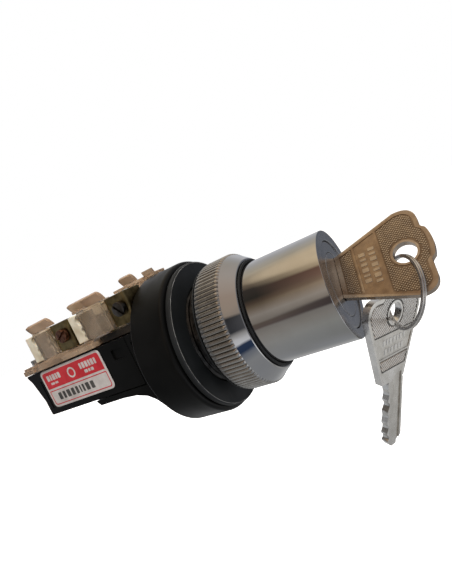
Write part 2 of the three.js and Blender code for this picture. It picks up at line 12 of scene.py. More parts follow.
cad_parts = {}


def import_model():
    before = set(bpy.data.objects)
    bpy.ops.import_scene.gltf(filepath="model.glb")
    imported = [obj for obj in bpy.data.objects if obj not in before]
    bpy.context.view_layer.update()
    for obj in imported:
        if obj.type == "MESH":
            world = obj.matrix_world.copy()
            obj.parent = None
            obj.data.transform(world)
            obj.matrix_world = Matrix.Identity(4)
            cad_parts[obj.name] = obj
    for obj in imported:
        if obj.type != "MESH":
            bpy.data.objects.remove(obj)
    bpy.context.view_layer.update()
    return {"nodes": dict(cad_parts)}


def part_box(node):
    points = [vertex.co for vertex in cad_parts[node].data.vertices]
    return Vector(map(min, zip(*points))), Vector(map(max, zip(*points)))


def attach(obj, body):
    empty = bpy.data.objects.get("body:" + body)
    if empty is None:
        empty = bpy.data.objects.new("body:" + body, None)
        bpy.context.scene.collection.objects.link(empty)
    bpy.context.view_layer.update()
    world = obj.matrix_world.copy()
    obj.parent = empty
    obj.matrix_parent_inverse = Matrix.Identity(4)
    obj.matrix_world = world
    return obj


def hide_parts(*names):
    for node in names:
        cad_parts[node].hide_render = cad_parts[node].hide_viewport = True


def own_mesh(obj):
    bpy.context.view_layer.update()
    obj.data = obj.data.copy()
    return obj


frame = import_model()
MM = 0.001
FLAT = Matrix.Identity(4)
SIDE = Matrix(((0, 0, 1, 0), (1, 0, 0, 0), (0, 1, 0, 0), (0, 0, 0, 1)))  # (u, v, w) -> (y, z, x)
END = Matrix(((1, 0, 0, 0), (0, 0, 1, 0), (0, 1, 0, 0), (0, 0, 0, 1)))  # (u, v, w) -> (x, z, y)
STAGES = ("front", "rear")
ROWS = {"near": -1, "far": 1}  # the side of the switch axis that a row of terminals is on

# ---- driving dimensions, in millimetres ----
BARREL_R = 14.5
BARREL_BORE_R = 11.8
BORE_R = BARREL_R + 0.8  # bore of the ring nut, its washer, the disc and the housing
THREAD_PITCH = 1.5
THREAD_DEPTH = 0.55
RIDGES = 92  # ridges round the knurl of the nut
RIDGE_DEPTH = 0.4
CONE_LENGTH = 3.6
PLUG_R = 6.3
PLUG_HEAD_R = 8.5
PLUG_HEAD_END = -35
FLANGE_BACK = 13.5
SHAFT_R = 3.2  # way of the camshaft through the housing
COVER_SCREW = (12, 62.6)  # off the axis, and along it
KEY_TURN = 38.3  # degrees from +Z to the cut edge of the key
KEY_THICK = 1.9
KEY_RIM = 0.15  # height of the key's rims over its panels
KEY_HOLE = (16.1, 1.4)
KEY_HOLE_R = 2.75
BLADE_HALF = 3.45
BLADE_TIP = -23.4
BLADE_SHOULDER = -2.8
BOW_MIDDLE = 1.4
BOW_END = 21.0  # from the lock face to the nicks of the bow
PANELS = ((0.9, 4.4), (4.9, 10.6), (11.1, 0))  # band, plain panel and main area, along the bow
PANEL_INSET = 1.0
CUTS = (0.6, 1.0, 0.5, 0.8, 1.1)
FIRST_CUT = -6.6
CUT_PITCH = 3.4
SPARE_HOLE = Vector((4.8, -45.8, -12.2))
SPARE_BLADE = Vector((0.0187, 0.4023, -0.9153))
SPARE_CUTS = Vector((-0.8745, 0.4504, 0.1801))
RING_R = 8.62
RING_AXIS = Vector((0.5069, -0.7597, -0.4073))
CLAMP_WAY = (1.2, 6.8)  # wire way inside a clamp, from its front face
SCREW_INSET = 2.8  # clamp screw behind the clamp's front face
SCREW_Z = 18.2
SHROUD_Y = {"front": (22.3, 32.9), "rear": (47.6, 54.8)}
HOOD_Y = {("front", "near"): (20.4, 27.8), ("front", "far"): (22.0, 27.8),
          ("rear", "near"): (43.8, 54.4), ("rear", "far"): (43.8, 54.4)}
FLAP_Y = (14.3, 18.5)  # the upright lip beside the flange


def corners(node):
    """Lowest and highest corner of a CAD node, in millimetres."""
    low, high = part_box(node)
    return low / MM, high / MM


def mirrored(side, near, far):
    """Two distances from the middle as coordinates on one side of it, the lower one first."""
    return sorted((side * near, side * far))


def axes(u, v, w, origin):
    """The matrix whose axes are these three directions, at this origin."""
    return Matrix.Translation(origin) @ Matrix((u, v, w)).transposed().to_4x4()


# ---- mesh helpers ----
def filleted(points, radius, steps=4):
    """The closed outline with its corners rounded; radius is one value or one for each corner."""
    outline = []
    for i, corner in enumerate(points):
        here = Vector(corner)
        back = Vector(points[i - 1]) - here
        ahead = Vector(points[(i + 1) % len(points)]) - here
        wanted = radius[i] if isinstance(radius, (list, tuple)) else radius
        half = back.angle(ahead) / 2
        if wanted <= 0 or half > math.radians(87):
            outline.append((here.x, here.y))
            continue
        reach = min(wanted / math.tan(half), 0.45 * back.length, 0.45 * ahead.length)
        start, end = here + back.normalized() * reach, here + ahead.normalized() * reach
        for k in range(steps + 1):
            t = k / steps
            point = start.lerp(here, t).lerp(here.lerp(end, t), t)
            outline.append((point.x, point.y))
    return outline


def skin(bm, rings, loop=True):
    """Quads between rings of vertices, and triangles where a ring is a single point."""
    pairs = list(zip(rings, rings[1:]))
    if loop:
        pairs.append((rings[-1], rings[0]))
    for low, high in pairs:
        count = max(len(low), len(high))
        if count == 1:
            continue
        for k in range(count):
            n = (k + 1) % count
            if len(low) == 1:
                bm.faces.new((low[0], high[n], high[k]))
            elif len(high) == 1:
                bm.faces.new((low[k], low[n], high[0]))
            else:
                bm.faces.new((low[k], low[n], high[n], high[k]))


def turned(profile, segments=128, radius=None):
    """A body turned about the Y axis; radius(r, y, angle) may shape the surface."""
    bm = bmesh.new()
    rings = []
    for r, y in profile:
        if r == 0:
            rings.append([bm.verts.new((0, y, 0))])
            continue
        ring = []
        for k in range(segments):
            angle = 2 * math.pi * k / segments
            here = radius(r, y, angle) if radius else r
            ring.append(bm.verts.new((here * math.sin(angle), y, here * math.cos(angle))))
        rings.append(ring)
    skin(bm, rings, loop=profile[0][0] != 0)
    return bm


def rings_of(bm, place, *loops):
    """Vertices along outlines in (u, v), each at its w, placed by a matrix."""
    return [[bm.verts.new(place @ Vector((u, v, w))) for u, v in line] for line, w in loops]


def prism(outline, low, high, place=FLAT):
    """An outline in (u, v), drawn along w from low to high."""
    bm = bmesh.new()
    rings = rings_of(bm, place, (outline, low), (outline, high))
    skin(bm, rings, loop=False)
    bm.faces.new(rings[0])
    bm.faces.new(rings[1])
    return bm


def frame_prism(outer, inner, low, high, place=FLAT):
    """A prism with a hole; both outlines have the same number of points."""
    bm = bmesh.new()
    skin(bm, rings_of(bm, place, (outer, low), (outer, high), (inner, high), (inner, low)))
    return bm


def soften(bm, width, segments=2, angle=30):
    """Rounds every edge that is sharper than the angle."""
    bmesh.ops.recalc_face_normals(bm, faces=bm.faces)
    sharp = [edge for edge in bm.edges
             if len(edge.link_faces) == 2 and edge.calc_face_angle() > math.radians(angle)]
    bmesh.ops.bevel(bm, geom=sharp, offset=width, segments=segments, profile=0.6,
                    affect="EDGES", clamp_overlap=True)
    return bm


def block(low, high, edge=0.0):
    """A block between two corners, with its edges rounded."""
    bm = bmesh.new()
    size = Vector(high) - Vector(low)
    middle = (Vector(high) + Vector(low)) / 2
    place = Matrix.Translation(middle) @ Matrix.Diagonal((*size, 1))
    bmesh.ops.create_cube(bm, size=1, matrix=place)
    return soften(bm, edge) if edge else bm


def rectangle(u0, v0, u1, v1):
    return [(u0, v0), (u1, v0), (u1, v1), (u0, v1)]


def circle(u, v, radius, count=24):
    turn = 2 * math.pi / count
    return [(u + radius * math.cos(k * turn), v + radius * math.sin(k * turn))
            for k in range(count)]


def merged(*bodies):
    """Several bodies as one mesh, side by side."""
    result = bmesh.new()
    for bm in bodies:
        mesh = bpy.data.meshes.new("part")
        bm.to_mesh(mesh)
        bm.free()
        result.from_mesh(mesh)
        bpy.data.meshes.remove(mesh)
    return result


def linked(name, data):
    """A mesh, light or camera as an object of the scene."""
    if isinstance(data, bmesh.types.BMesh):
        bm, data = data, bpy.data.meshes.new(name)
        bm.to_mesh(data)
        bm.free()
    obj = bpy.data.objects.new(name, data)
    bpy.context.scene.collection.objects.link(obj)
    return obj


def temporary(bm):
    bmesh.ops.recalc_face_normals(bm, faces=bm.faces)
    return linked("temporary", bm)


def boolean(body, *tools, operation="DIFFERENCE"):
    """The body without the tools, or with them (UNION), or only inside them (INTERSECT)."""
    target = temporary(body)
    others = [temporary(tool) for tool in tools]
    for other in others:
        step = target.modifiers.new("step", "BOOLEAN")
        step.operation = operation
        step.solver = "EXACT"
        step.object = other
    bpy.context.view_layer.update()
    depsgraph = bpy.context.evaluated_depsgraph_get()
    mesh = bpy.data.meshes.new_from_object(target.evaluated_get(depsgraph))
    result = bmesh.new()
    result.from_mesh(mesh)
    for obj in [target, *others]:
        old = obj.data
        bpy.data.objects.remove(obj)
        bpy.data.meshes.remove(old)
    bpy.data.meshes.remove(mesh)
    bmesh.ops.remove_doubles(result, verts=result.verts, dist=0.0005)
    return result


def piece(name, bm, material, stands_for=(), body="housing"):
    """Makes the mesh an object that rides on a CAD body, smooth but for its sharp edges."""
    bmesh.ops.recalc_face_normals(bm, faces=bm.faces)
    for face in bm.faces:
        face.smooth = True
    for edge in bm.edges:
        edge.smooth = len(edge.link_faces) == 2 and edge.calc_face_angle() < math.radians(32)
    bmesh.ops.scale(bm, vec=(MM, MM, MM), verts=bm.verts)
    obj = linked(name, bm)
    obj.data.materials.append(material)
    even = obj.modifiers.new("even_normals", "WEIGHTED_NORMAL")
    even.keep_sharp = True
    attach(obj, body)
    if stands_for:
        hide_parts(*stands_for)
    return obj


# ---- materials ----
class Nodes:
    """The node tree of a material or world, and the nodes that both are made of."""

    def __init__(self, owner):
        owner.use_nodes = True
        self.tree = owner.node_tree

    def node(self, kind, inputs=None, **settings):
        """A node; inputs gives sockets either a value or the output they are linked to."""
        made = self.tree.nodes.new(kind)
        for key, value in settings.items():
            setattr(made, key, value)
        for socket, value in (inputs or {}).items():
            if isinstance(value, bpy.types.NodeSocket):
                self.tree.links.new(value, made.inputs[socket])
            else:
                made.inputs[socket].default_value = value
        return made

    def ramp(self, value, stops):
        """Colours for a value: stops are (position, colour)."""
        node = self.node("ShaderNodeValToRGB", {"Fac": value})
        elements = node.color_ramp.elements
        for element, (position, color) in zip(elements, (stops[0], stops[-1])):
            element.position, element.color = position, (*color, 1)
        for position, color in stops[1:-1]:
            elements.new(position).color = (*color, 1)
        return node.outputs["Color"]

    def span(self, value, low, high, start=0.35, end=0.65, smooth=False):
        """Maps start to end, the middle of a noise unless given, to low to high."""
        return self.node("ShaderNodeMapRange", {
            "Value": value, "From Min": start, "From Max": end, "To Min": low, "To Max": high,
        }, interpolation_type="SMOOTHSTEP" if smooth else "LINEAR").outputs["Result"]

    def mix(self, share, *colors):
        """Two colours, or outputs that give colours, mixed by a share from 0 to 1."""
        ends = [(*color, 1) if isinstance(color, tuple) else color for color in colors]
        return self.node("ShaderNodeMix", {"Factor": share, 6: ends[0], 7: ends[1]},
                         data_type="RGBA").outputs[2]


class Surface(Nodes):
    """A Principled material. Sizes are in millimetres."""

    def __init__(self, name, **sockets):
        self.material = bpy.data.materials.new(name)
        super().__init__(self.material)
        self.shader = next(n for n in self.tree.nodes if n.type == "BSDF_PRINCIPLED").inputs
        for socket, value in sockets.items():
            self.shader[socket.replace("_", " ")].default_value = value
        self.place = self.node("ShaderNodeTexCoord").outputs["Object"]
        self.normal = None

    def noise(self, size, detail, stretch=(1, 1, 1), distortion=0.0):
        """Noise with features of about this size."""
        mapping = self.node("ShaderNodeMapping", {"Vector": self.place, "Scale": stretch})
        return self.node("ShaderNodeTexNoise", {
            "Vector": mapping.outputs["Vector"], "Scale": 1 / (size * MM), "Detail": detail,
            "Distortion": distortion}).outputs["Fac"]

    def set(self, socket, output):
        self.tree.links.new(output, self.shader[socket])

    def bump(self, height, depth, strength):
        """Adds a bump of this depth in millimetres to those before it."""
        inputs = {"Strength": strength, "Distance": depth * MM, "Height": height}
        if self.normal:
            inputs["Normal"] = self.normal
        self.normal = self.node("ShaderNodeBump", inputs).outputs["Normal"]
        self.set("Normal", self.normal)


def finish(name, tones, rough, *bumps, edges=None, **sockets):
    """A material whose parts each start with a noise: (size, detail, stretch, distortion).

    Tones go on with (position, colour) stops, rough with its lowest and highest value, and a
    bump with its depth and strength. Edges are the span of pointiness from hollows to worn
    edges and the colours there, where None stands for the tones; a hollow colour is painted shade.
    """
    s = Surface(name, **sockets)
    color = s.ramp(s.noise(*tones[0]), tones[1:])
    if edges:
        # hollow is a colour of painted shade for concave places, worn a colour of real wear on
        # edges
        start, end, hollow, worn = edges
        pointiness = s.node("ShaderNodeNewGeometry").outputs["Pointiness"]
        color = s.mix(s.span(pointiness, 0.0, 1.0, start, end), hollow or color, worn or color)
    s.set("Base Color", color)
    if rough:
        s.set("Roughness", s.span(s.noise(*rough[0]), *rough[1:]))
    for noise, depth, strength in bumps:
        s.bump(s.noise(*noise), depth, strength)
    return s.material


def metal(name, low, high, rough, size=2.0):
    return finish(name, ((size, 5), (0.32, low), (0.66, high)),
                  ((size / 2, 4), rough, rough + 0.14), ((0.3, 3), 0.006, 0.6), Metallic=1.0)


def key_metal(name, low, high, worn, rough):
    """Plated metal with brighter, worn edges and fine scratches."""
    return finish(name, ((3.5, 6, (1, 1, 1), 0.4), (0.34, low), (0.64, high)),
                  ((1.6, 5), rough, rough + 0.13), ((0.9, 4, (1, 6, 1)), 0.008, 0.5),
                  ((0.25, 2), 0.006, 0.5), edges=(0.52, 0.6, None, worn), Metallic=1.0)


def clear_plastic(name, tint, deep, opacity, rough):
    return finish(name, ((7, 4), (0.32, deep), (0.66, tint)), ((3, 4), rough, rough + 0.08),
                  ((4, 2), 0.012, 0.35), IOR=1.49, Transmission_Weight=1.0 - opacity)


def printed(name, low, high, rough=0.4):
    return finish(name, ((3, 5), (0.3, low), (0.66, high)), ((2, 4), rough, rough + 0.12),
                  ((0.4, 3), 0.004, 0.4), Specular_IOR_Level=0.4)


CHROME = finish(
    "chrome_plate", ((9, 4), (0.35, (0.53, 0.525, 0.52)), (0.6, (0.57, 0.57, 0.575))),
    ((2.5, 5), 0.01, 0.035), ((6, 2, (1, 0.5, 1)), 0.06, 0.5), ((0.35, 3), 0.002, 0.5),
    Metallic=1.0)
# the darker colour that pointiness gives the grooves of the knurl is painted shade
KNURL = finish(
    "chrome_knurl", ((4, 4), (0.35, (0.47, 0.455, 0.435)), (0.62, (0.57, 0.56, 0.545))),
    ((1.2, 5), 0.2, 0.34), ((0.4, 3), 0.01, 0.5),
    edges=(0.45, 0.5, (0.2, 0.185, 0.165), None), Metallic=1.0)
DARK_PLATE = finish(
    "dark_zinc", ((3, 5), (0.35, (0.38, 0.385, 0.4)), (0.65, (0.47, 0.475, 0.495))),
    ((3, 4), 0.2, 0.27), ((0.6, 3), 0.003, 0.5), Metallic=0.9)
BLACK = finish(
    "black_moulding", ((12, 5), (0.3, (0.0022, 0.0023, 0.0022)), (0.7, (0.0042, 0.0043, 0.0042))),
    ((7, 6), 0.3, 0.44), ((0.45, 3), 0.012, 0.6), ((14, 2), 0.05, 0.4), Specular_IOR_Level=0.17)
RUBBER = finish(
    "black_rubber", ((8, 5), (0.3, (0.008, 0.0092, 0.0102)), (0.7, (0.0135, 0.0152, 0.0165))),
    ((5, 5), 0.42, 0.56), ((0.6, 4), 0.015, 0.5), Specular_IOR_Level=0.4)
# a pale colour for the thin ring on the sealing disc's edge: a painted highlight
PAINTED_EDGE_HIGHLIGHT = printed("painted_edge_highlight", (0.015, 0.016, 0.017), (0.4, 0.4, 0.39), 0.3)
# the thread's near-black colour is painted shade for the gap between the nut and the sealing disc
SHADE_PAINTED_THREAD = metal("thread_painted_shade", (0.035, 0.034, 0.033), (0.1, 0.097, 0.093), 0.34)
CLEAR = clear_plastic("clear_cover", (0.68, 0.58, 0.47), (0.5, 0.41, 0.31), 0.2, 0.05)
AMBER = clear_plastic("amber_hood", (0.6, 0.43, 0.29), (0.44, 0.3, 0.19), 0.5, 0.14)
COVER = clear_plastic("amber_cover", (0.62, 0.46, 0.32), (0.42, 0.3, 0.2), 0.4, 0.12)
SHADED = clear_plastic("shaded_cover", (0.05, 0.04, 0.03), (0.025, 0.02, 0.016), 0.75, 0.1)
IVORY = finish(
    "ivory_moulding", ((4, 5), (0.3, (0.52, 0.45, 0.32)), (0.66, (0.78, 0.73, 0.6))),
    ((3, 4), 0.4, 0.55), ((0.5, 3), 0.01, 0.5), Subsurface_Weight=0.15,
    Subsurface_Radius=(0.0012, 0.0008, 0.0005), Specular_IOR_Level=0.4)
STEEL = metal("zinc_steel", (0.42, 0.41, 0.39), (0.62, 0.61, 0.6), 0.25)
RUSTY = metal("rusty_screw", (0.1, 0.045, 0.03), (0.34, 0.17, 0.11), 0.32, 0.8)
DARK_STEEL = metal("dark_steel", (0.06, 0.055, 0.05), (0.17, 0.16, 0.15), 0.3)
BRASS = metal("dull_brass", (0.16, 0.122, 0.056), (0.36, 0.284, 0.14), 0.3)
WAFER_BRASS = metal("wafer_brass", (0.45, 0.34, 0.15), (0.66, 0.52, 0.26), 0.28)
BRONZE_KEY = key_metal(
    "tan_key", (0.31, 0.228, 0.165), (0.41, 0.315, 0.235), (0.62, 0.55, 0.47), 0.24)
NICKEL_KEY = key_metal(
    "nickel_key", (0.68, 0.66, 0.62), (0.84, 0.82, 0.78), (0.95, 0.94, 0.92), 0.2)
# darker colours for the floors of the hatched panels: painted shade in the recesses
TAN_HOLLOW_SHADE = key_metal(
    "tan_key_hollow_shade", (0.24, 0.178, 0.127), (0.33, 0.252, 0.185), (0.46, 0.38, 0.3), 0.33)
NICKEL_HOLLOW_SHADE = key_metal(
    "nickel_key_hollow_shade", (0.11, 0.107, 0.1), (0.2, 0.193, 0.185), (0.45, 0.44, 0.42), 0.33)
RING_WIRE = metal("ring_wire", (0.74, 0.7, 0.65), (0.93, 0.9, 0.85), 0.2, 1.5)
PAPER = printed("label_paper", (0.46, 0.43, 0.415), (0.61, 0.58, 0.565))
RED_INK = printed("red_ink", (0.44, 0.018, 0.027), (0.57, 0.032, 0.044), 0.34)
BLACK_INK = printed("black_ink", (0.03, 0.03, 0.03), (0.09, 0.085, 0.08))


# ---- lock barrel, nut and seals ----
def lock_barrel():
    """A chrome tube, the dark face inside its rim, and the threaded neck, coloured near black as
    painted shade.
    """
    low, high = corners("lock_barrel")
    front, end, thread_r = low.y, high.y, high.x
    start = corners("ring_nut")[0].y + 0.2
    inner = BARREL_R - 0.4
    ring_step = 0.2
    rings = int((end - start - 1.2) / ring_step)
    tube = [(inner, start), (inner, front), (BARREL_R, front), (BARREL_R, start)]
    face = [(BARREL_BORE_R, start), (BARREL_BORE_R, front + 0.04), (inner, front + 0.04),
            (inner, start)]
    neck = [(BARREL_BORE_R, end), (BARREL_BORE_R, start), (BARREL_R, start)]
    neck += [(thread_r, start + 0.6 + ring_step * k) for k in range(rings)]
    neck.append((thread_r - 0.6, end))

    def radius(r, y, angle):
        if r < thread_r - 0.01:
            return r
        phase = (y / THREAD_PITCH - angle / (2 * math.pi)) % 1
        return r - THREAD_DEPTH * min(1, 1.25 * abs(2 * phase - 1))

    for name, bm, material in (
            ("barrel_shell", turned(filleted(tube, [0, 0, 0.3, 0], 5), 192), CHROME),
            ("barrel_face", turned(filleted(face, [0, 0.2, 0, 0], 4), 160), DARK_PLATE),
            ("barrel_neck", turned(neck, 160, radius), SHADE_PAINTED_THREAD)):
        piece(name, bm, material, ["lock_barrel"])


def ring_nut():
    """A polished cone in front of a straight knurl."""
    low, high = corners("ring_nut")
    outer, front, rear = high.x, low.y, high.y
    knurl = front + CONE_LENGTH
    cone = [(BORE_R, knurl), (BORE_R, front), (BORE_R + 0.6, front), (outer - 0.75, knurl - 0.35),
            (outer - 0.5, knurl)]
    piece("nut_cone", turned(filleted(cone, [0, 0.2, 0.45, 0.35, 0], 5), 192), CHROME,
          ["ring_nut"], "ring_nut")
    ring_step = 0.5
    rings = int((rear - knurl - 1) / ring_step)
    ridge = [(BORE_R, knurl), (outer - 0.5, knurl), (outer - 0.12, knurl + 0.3)]
    ridge += [(outer, knurl + 0.55 + ring_step * k) for k in range(rings)]
    ridge += [(outer - 0.15, rear - 0.5), (outer - RIDGE_DEPTH - 0.1, rear - 0.15),
              (outer - RIDGE_DEPTH - 0.5, rear), (BORE_R, rear)]

    def radius(r, y, angle):
        if r < outer - 0.2 or y <= knurl:
            return r
        edge = abs(2 * (RIDGES * angle / (2 * math.pi) % 1) - 1)
        return r - RIDGE_DEPTH * max(0.0, min(1.0, (edge - 0.55) / 0.45))

    piece("nut_knurl", turned(ridge, RIDGES * 6, radius), KNURL, ["ring_nut"], "ring_nut")


def seal_rings():
    for node, inner, edge in (("barrel_seal", BARREL_R + 0.1, 0.2), ("nut_washer", BORE_R, 0.3)):
        low, high = corners(node)
        profile = filleted(rectangle(inner, low.y, high.x, high.y), edge)
        piece(node + "_ring", turned(profile), RUBBER, [node])


def sealing_disc():
    """A flat disc with a thin pale ring along its front edge, a painted highlight."""
    low, high = corners("sealing_disc")
    outer = high.x
    profile = [(BORE_R, low.y), (outer - 0.3, low.y), (outer, low.y + 0.35), (outer, high.y),
               (BORE_R, high.y)]
    piece("sealing_disc_face", turned(filleted(profile, [0.2, 0.12, 0.12, 0.4, 0.2]), 160),
          RUBBER, ["sealing_disc"])
    # the thin pale ring is a painted highlight along the disc's front edge
    piece("sealing_disc_painted_highlight", turned(circle(outer - 0.42, low.y + 0.02, 0.07, 8), 160),
          PAINTED_EDGE_HIGHLIGHT)


def housing():
    """The flange cup with the arm that carries the contact base."""
    low, high = corners("housing")
    base_low, base_high = corners("contact_base")
    rim, front, back = high.x, low.y, FLANGE_BACK
    neck_end = corners("lock_barrel")[1].y + 0.3
    cup = turned(filleted(
        [(BORE_R, front), (rim, front), (rim, back), (SHAFT_R, back), (SHAFT_R, neck_end),
         (BORE_R, neck_end)], [0.3, 1.3, 0.5, 0.1, 0.1, 0.1], 8), 160)
    shelf, step = base_low.z - 0.3, -6.3
    curve = [(back - 1, -15.2), (back + 1.6, -14.6), (back + 3.6, -12.2), (back + 5.6, -9.7),
             (back + 8.2, -7.8), (back + 12, -6.7), (back + 17, step), (high.y - 1.2, step),
             (high.y, shelf), (base_low.y - 0.3, shelf), (base_low.y - 0.3, base_high.z),
             (back - 1, base_high.z)]
    outline = filleted(curve, [0, 2, 3, 3, 3, 4, 5, 0.6, 0.1, 0.4, 0.4, 0], 5)
    half = base_high.x
    arm = soften(prism(outline, -half, half, SIDE), 0.35, 3, 40)
    # shallow panels in both cheeks of the arm, as the mould leaves them
    panel = filleted(rectangle(back + 1.2, -4, base_low.y - 1.6, base_high.z - 2), 0.8)
    cheeks = [prism(panel, side * half - 0.35, side * half + 0.35, SIDE) for side in (-1, 1)]
    shaft_way = turned([(0, back - 2), (SHAFT_R, back - 2), (SHAFT_R, base_low.y + 2),
                        (0, base_low.y + 2)], 48)
    grub_way = prism(circle(7, 0, 1.8), rim - 6, rim + 2, SIDE)
    body = boolean(cup, arm, operation="UNION")
    body = boolean(body, shaft_way, grub_way, *cheeks)
    piece("housing_shell", body, BLACK, ["housing"])


# ---- lock face ----
def key_frame(origin, ahead, cuts):
    """Matrix of a key: u ahead of the rim, v towards the cut edge, w across."""
    u = ahead.normalized()
    v = (cuts - u * cuts.dot(u)).normalized()
    return axes(u, v, u.cross(v), origin)


TURN = math.radians(KEY_TURN)
FRONT = Vector((0, corners("lock_barrel")[0].y, 0))
KEY_PLACE = key_frame(FRONT, Vector((0, -1, 0)), Vector((math.sin(TURN), 0, math.cos(TURN))))


def lock_face():
    """The counterbored lock cylinder and its plug, with the slots for the key and the wafers."""
    low, high = corners("lock_cylinder")
    plug_low, plug_high = corners("key_plug")
    edge, bore, head_bore = high.x + 0.25, PLUG_R + 0.3, PLUG_HEAD_R + 0.12
    body = turned(filleted(
        [(head_bore, low.y), (edge, low.y), (edge, high.y), (bore, high.y),
         (bore, PLUG_HEAD_END + 0.3), (head_bore, PLUG_HEAD_END + 0.3)],
        [0.15, 0.6, 0.1, 0.1, 0.1, 0.1], 5), 128)
    channel = prism(rectangle(-26.5, -8.2, -6.2, 8.2), -3.2, 3.2, KEY_PLACE)
    piece("lock_cylinder_body", boolean(body, channel),
          DARK_PLATE, ["lock_cylinder"])
    neck_r, neck = 4, -11.5
    core = turned(filleted(
        [(0, plug_low.y), (PLUG_HEAD_R, plug_low.y), (PLUG_HEAD_R, PLUG_HEAD_END),
         (PLUG_R, PLUG_HEAD_END), (PLUG_R, neck), (neck_r, neck), (neck_r, plug_high.y),
         (0, plug_high.y)], [0, 0.2, 0.1, 0.1, 0.1, 0.1, 0.2, 0]), 96)
    half = KEY_THICK / 2
    seat = prism(rectangle(BLADE_SHOULDER - 0.3, BOW_MIDDLE - 6.1, 1, BOW_MIDDLE + 6.1),
                 -half - 0.25, half + 0.25, KEY_PLACE)
    keyway = prism(rectangle(BLADE_TIP - 0.4, -BLADE_HALF - 0.4, 0, BLADE_HALF + 0.4),
                   -half - 0.3, half + 0.3, KEY_PLACE)
    slots = []
    for i in range(len(CUTS)):
        cut = FIRST_CUT - CUT_PITCH * i
        slots.append(prism(rectangle(cut - 0.8, -7, cut + 0.8, 7), -2.9, 2.9, KEY_PLACE))
    tang = block((-2, plug_high.y - 3, -0.8), (2, plug_high.y + 1, 0.8))
    piece("key_plug_core", boolean(core, keyway, seat, *slots, tang),
          DARK_PLATE, ["key_plug"], "plug")


# ---- contact base, covers and label ----
def plunger_y(stage):
    low, high = corners("bridge_" + stage)
    return (low.y + high.y) / 2


def top_ways(stem_low, screw_low, high):
    """The openings for the plungers' stems and the cover screws."""
    stems = [block((-2.3, plunger_y(stage) - 2.3, stem_low), (2.3, plunger_y(stage) + 2.3, high))
             for stage in STAGES]
    x, y = COVER_SCREW
    return stems, [prism(circle(side * x, y, 1.5), screw_low, high) for side in (-1, 1)]


def contact_base():
    low, high = corners("contact_base")
    slope = [(low.y, low.z), (63.6, low.z), (63.6, 1), (65.4, 8), (high.y, high.z - 0.6),
             (high.y, high.z), (low.y, high.z)]
    shell = soften(prism(filleted(slope, [0.4, 0.7, 1.2, 1.2, 0.2, 0.2, 0.4]), low.x, high.x, SIDE),
                   0.3, 3, 40)
    hollow = block((-9, low.y - 1, -3.2), (9, 61.4, 8.6))
    stems, screws = top_ways(8, 5, high.z + 1)
    latch = filleted(rectangle(low.y + 2.2, high.z - 5.6, low.y + 6.8, high.z - 2.4), 0.5)
    label_end = corners("label")[1].y
    groove = filleted(rectangle(label_end + 1.2, low.z + 2, label_end + 1.8, high.z - 3), 0.28)
    # a snap latch pocket ahead of the label and a sink groove behind it, on both sides
    pads = [prism(outline, side * high.x - depth, side * high.x + depth, SIDE)
            for side in (-1, 1) for outline, depth in ((latch, 0.5), (groove, 0.3))]
    piece("contact_base_shell", boolean(shell, hollow, *stems, *pads, *screws),
          BLACK, ["contact_base"])


def slab(outline, low, high, corner, edge, steps=4):
    """A plate with an outline of rounded corners and with rounded edges."""
    return soften(prism(filleted(outline, corner, steps), low, high), edge, 2, 40)


def covers():
    """The rear plate, with low ribs and a raised end, and the darker front plate."""
    low, high = corners("rear_cover")
    plate_top = high.z - 0.7
    sheet = slab(rectangle(low.x, low.y, high.x, high.y), low.z, plate_top, 1.2, 0.2, 6)
    ribs = [slab(rectangle(x - 0.45, low.y + 0.4, x + 0.45, high.y - 5), plate_top - 0.2, high.z,
                 0.3, 0.12) for x in (low.x + 0.8, high.x - 0.8)]
    end = slab(rectangle(low.x + 0.6, high.y - 5.2, high.x - 0.6, high.y - 0.3), plate_top - 0.2,
               high.z, 0.9, 0.15)
    stems, screws = top_ways(low.z - 1, low.z - 1, high.z + 1)
    body = boolean(sheet, end, *ribs, operation="UNION")
    piece("rear_cover_sheet", boolean(body, *stems, *screws), COVER,
          ["rear_cover"])
    low, high = corners("front_cover")
    sheet = slab(rectangle(low.x, low.y, high.x, high.y), low.z, high.z, 0.8, 0.2)
    piece("front_cover_sheet", sheet, SHADED, ["front_cover"])


